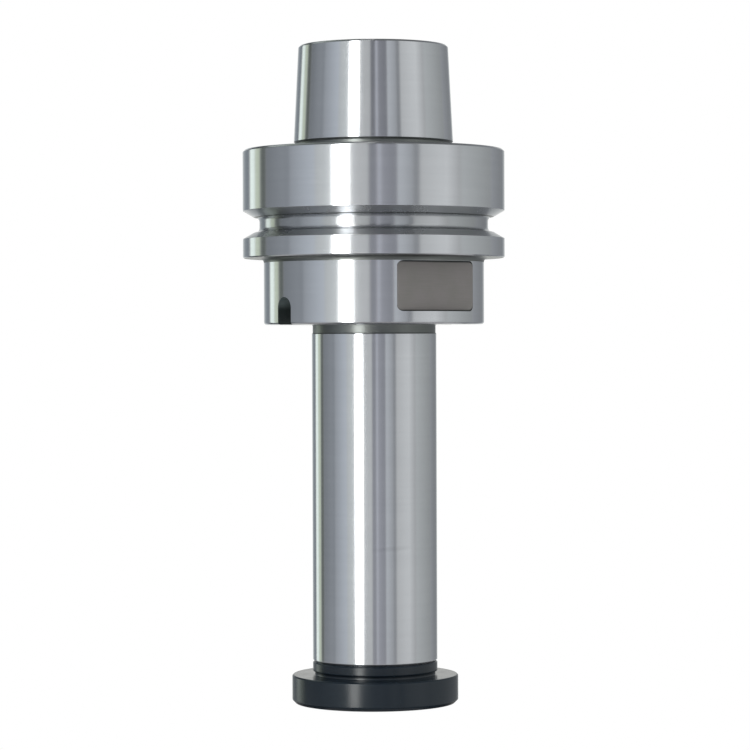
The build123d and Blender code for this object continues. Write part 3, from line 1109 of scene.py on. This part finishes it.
# %% [markdown]
# ## Floor, backdrop and lamps
#
# The floor is a pale disc, where the cap comes to when it is fully unscrewed, so no pose sinks into it.
# A shadow catcher could take the shadow, but steel wouldn't reflect it, so near the object the floor is
# paper. Further out it fades into a white that cameras and reflections see and that sheds no light, the
# same as the world's. From below it is clear, so that the cap and its screw can be looked at too.

# %% Floor helpers
cap_travel = next(j for j in frame["joints"] if j["name"] == "cap_slide")["range_m"][1]
floor_level = cap_bottom - cap_travel - 0.1 * mm
floor_radius = 160 * mm
floor_sides = 96


def seen_directly(tree):
    """1 for rays from the camera, a reflection or glass, and 0 for the light that surfaces gather."""
    rays = add_node(tree, "ShaderNodeLightPath").outputs
    mirror = calc(tree, "ADD", rays["Is Glossy Ray"], rays["Is Transmission Ray"])
    return calc(tree, "ADD", rays["Is Camera Ray"], mirror, clamp=True)


def from_axis(tree):
    """How far a point is from the object's axis, seen from above."""
    x, y, _ = object_axes(tree)
    return hypotenuse(tree, x, y)


def disc(name, height, finish):
    """A flat disc round the axis."""
    rim = in_space(*circle(floor_radius, floor_sides), height)
    return new_piece(name, rim, [list(range(floor_sides))], [finish])


print("floor at", in_mm(floor_level), "mm")

# %% Floor
paper_radius = 40 * mm
white_radius = 88 * mm
paper, tree = empty_finish("white paper")
matt = add_node(tree, "ShaderNodeBsdfDiffuse", {"Color": (0.9, 0.9, 0.9, 1)}).outputs[0]
fade = remap(tree, from_axis(tree), 0.0, 1.0, start=paper_radius, end=white_radius, curve="SMOOTHSTEP")
white = calc(tree, "MULTIPLY", fade, seen_directly(tree))
from_above = mix_shaders(tree, white, matt, glow(tree, (1, 1, 1, 1)))
from_below = add_node(tree, "ShaderNodeBsdfTransparent").outputs[0]
below = add_node(tree, "ShaderNodeNewGeometry").outputs["Backfacing"]
one_sided = mix_shaders(tree, below, from_above, from_below)
add_node(tree, "ShaderNodeOutputMaterial", {"Surface": one_sided})
floor = disc("floor", floor_level, paper)
print("floor:", len(tree.nodes), "nodes")

# %% Dark card over the floor
card_gap = 2 * mm
card_finish, tree = empty_finish("dark card")
reach = from_axis(tree)
outer_tone = remap(tree, reach, 0.05, 0.55, start=40 * mm, end=120 * mm)
under_cap = remap(tree, reach, 0.3, 0.0, start=22 * mm, end=25 * mm)
card_tone = calc(tree, "MAXIMUM", outer_tone, under_cap)
add_node(tree, "ShaderNodeOutputMaterial", {"Surface": glow(tree, card_tone)})
dark_card = disc("dark_card", floor_level + card_gap, card_finish)
reflected_only(dark_card)
print("dark card:", len(tree.nodes), "nodes")

# %% World
world = bpy.data.worlds.new("white studio")
bpy.context.scene.world = world
world.use_nodes = True
tree = world.node_tree
tree.nodes.clear()
ambient = add_node(tree, "ShaderNodeBackground", {"Color": (0.93, 0.95, 1.0, 1), "Strength": 0.62}).outputs[0]
backdrop = add_node(tree, "ShaderNodeBackground", {"Color": (1, 1, 1, 1)}).outputs[0]
surrounding = mix_shaders(tree, seen_directly(tree), ambient, backdrop)
add_node(tree, "ShaderNodeOutputWorld", {"Surface": surrounding})
print("world:", len(tree.nodes), "nodes")


# %% Lamps
def softbox(name, degrees, distance, height, size, power):
    """A square soft lamp that faces the object, at an angle to the right of the camera."""
    turn = np.radians(degrees)
    level = (to_camera * np.cos(turn) + to_right * np.sin(turn)) * distance
    lamp = placed(name, bpy.data.lights.new(name, "AREA"))
    lamp.data.size, lamp.data.energy = size, power
    lamp.location = (*level, height)
    lamp.rotation_euler = (Vector((0, 0, shoulder)) - lamp.location).to_track_quat("-Z", "Y").to_euler()
    lamp.visible_glossy = False


softbox("key softbox", degrees=-40, distance=0.9, height=0.7, size=0.7, power=5.0)
softbox("fill softbox", degrees=60, distance=0.9, height=0.5, size=0.8, power=2.5)
bpy.context.scene.view_settings.view_transform = "Standard"
print("lamps placed")
